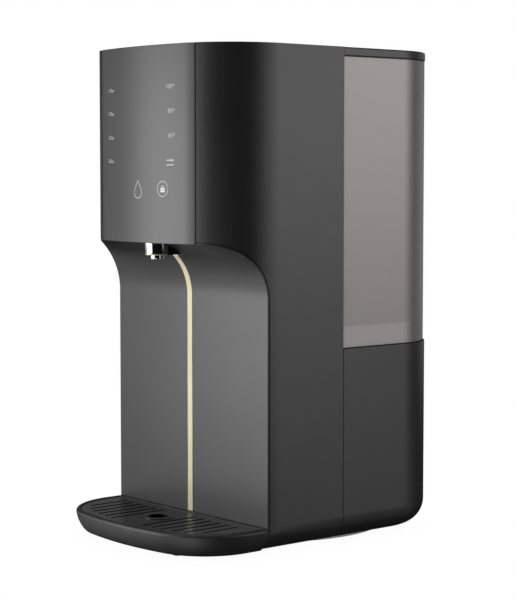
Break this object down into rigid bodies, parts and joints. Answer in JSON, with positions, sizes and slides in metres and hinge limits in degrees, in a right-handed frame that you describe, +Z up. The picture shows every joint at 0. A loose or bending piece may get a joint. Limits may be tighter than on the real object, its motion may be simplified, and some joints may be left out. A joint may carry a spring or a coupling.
{
  "type": "countertop reverse osmosis water filter",
  "caption": "Free-standing countertop water filter: bowed head with touch panel and spout over a cup recess, lift-out rear water tank with lid, sliding drip tray and turn-out filter cartridges.",
  "frame": {"origin": "on the counter under the middle of the whole object", "axes": "+X to the right seen from the front, the front faces -Y, +Z up"},
  "size_m": [0.2, 0.284, 0.404],
  "materials": {
    "shell": "fine matte moulded texture, charcoal",
    "panel": "satin charcoal",
    "grille": "satin black",
    "accent": "champagne anodised, satin",
    "chrome": "polished",
    "tank": "smoked translucent",
    "chassis": "moulded",
    "natural": "moulded off-white",
    "tube": "smooth extruded",
    "rubber": "moulded",
    "steel": "zinc plated and stainless",
    "case": "pressed",
    "board": "solder mask",
    "float": "foamed"
  },
  "bodies": {
    "housing": {"left_side_panel": "shell", "right_side_panel": "shell", "front_panel": "panel", "recess_panel": "panel", "accent_strip": "accent", "bulkhead": "chassis", "base_plate": "chassis", "rear_housing": "shell", "foot_pad": "rubber", "base_screws": "steel", "outlet_block": "grille", "outlet_sleeve": "chrome", "spout": "chrome", "head_floor": "chassis", "light_frame": "natural", "display_board": "board", "buffer_tank": "natural", "heater": "steel", "filter_manifold": "chassis", "filter_guide": "chassis", "pump_bracket": "steel", "pump_mounts": "rubber", "pump_motor": "steel", "pump_head": "chassis", "inlet_valve": "natural", "flush_valve": "natural", "power_supply": "case", "control_board": "board", "power_inlet": "grille", "tank_socket": "chassis", "socket_seal": "rubber", "feed_tube": "tube", "raw_tube": "tube", "suction_tube": "tube", "pressure_tube": "tube", "brine_tube": "tube", "pure_tube": "tube", "outlet_tube": "tube"},
    "cover": {"top_cover": "shell"},
    "carbon_filter": {"carbon_cartridge": "natural", "carbon_seal": "rubber"},
    "membrane_filter": {"membrane_cartridge": "natural", "membrane_seal": "rubber"},
    "tank": {"water_tank": "tank", "tank_valve": "natural", "valve_cap": "natural", "poppet_spring": "steel", "float_guide": "natural"},
    "poppet": {"valve_poppet": "rubber"},
    "float": {"level_float": "float"},
    "lid": {"tank_lid": "shell", "lid_gasket": "rubber"},
    "tray": {"drip_tray": "shell", "tray_feet": "rubber"},
    "grille": {"drip_grille": "grille"}
  },
  "joints": [
    {"name": "tank_lift", "type": "slide", "parent": "housing", "child": "tank", "axis": [0, 0, 1], "range_m": [0, 0.06]},
    {"name": "poppet_close", "type": "slide", "parent": "tank", "child": "poppet", "axis": [0, 0, 1], "range_m": [-0.004, 0], "deforming": ["poppet_spring"]},
    {"name": "float_rise", "type": "slide", "parent": "tank", "child": "float", "axis": [0, 0, 1], "range_m": [0, 0.02]},
    {"name": "lid_lift", "type": "slide", "parent": "tank", "child": "lid", "axis": [0, 0, 1], "range_m": [0, 0.04]},
    {"name": "cover_lift", "type": "slide", "parent": "housing", "child": "cover", "axis": [0, 0, 1], "range_m": [0, 0.04]},
    {"name": "tray_slide", "type": "slide", "parent": "housing", "child": "tray", "axis": [0, -1, 0], "range_m": [0, 0.06]},
    {"name": "grille_lift", "type": "slide", "parent": "tray", "child": "grille", "axis": [0, 0, 1], "range_m": [0, 0.025]},
    {"name": "carbon_turn", "type": "hinge", "parent": "housing", "child": "carbon_filter", "pos_m": [-0.04003, -0.02513, 0.0465], "axis": [0, 0, 1], "range_deg": [0, 60]},
    {"name": "membrane_turn", "type": "hinge", "parent": "housing", "child": "membrane_filter", "pos_m": [0.04003, -0.02513, 0.0465], "axis": [0, 0, 1], "range_deg": [0, 60]}
  ],
  "couplings": [
    {"joint": "poppet_close", "follows": "tank_lift", "ratio": -0.066667}
  ]
}
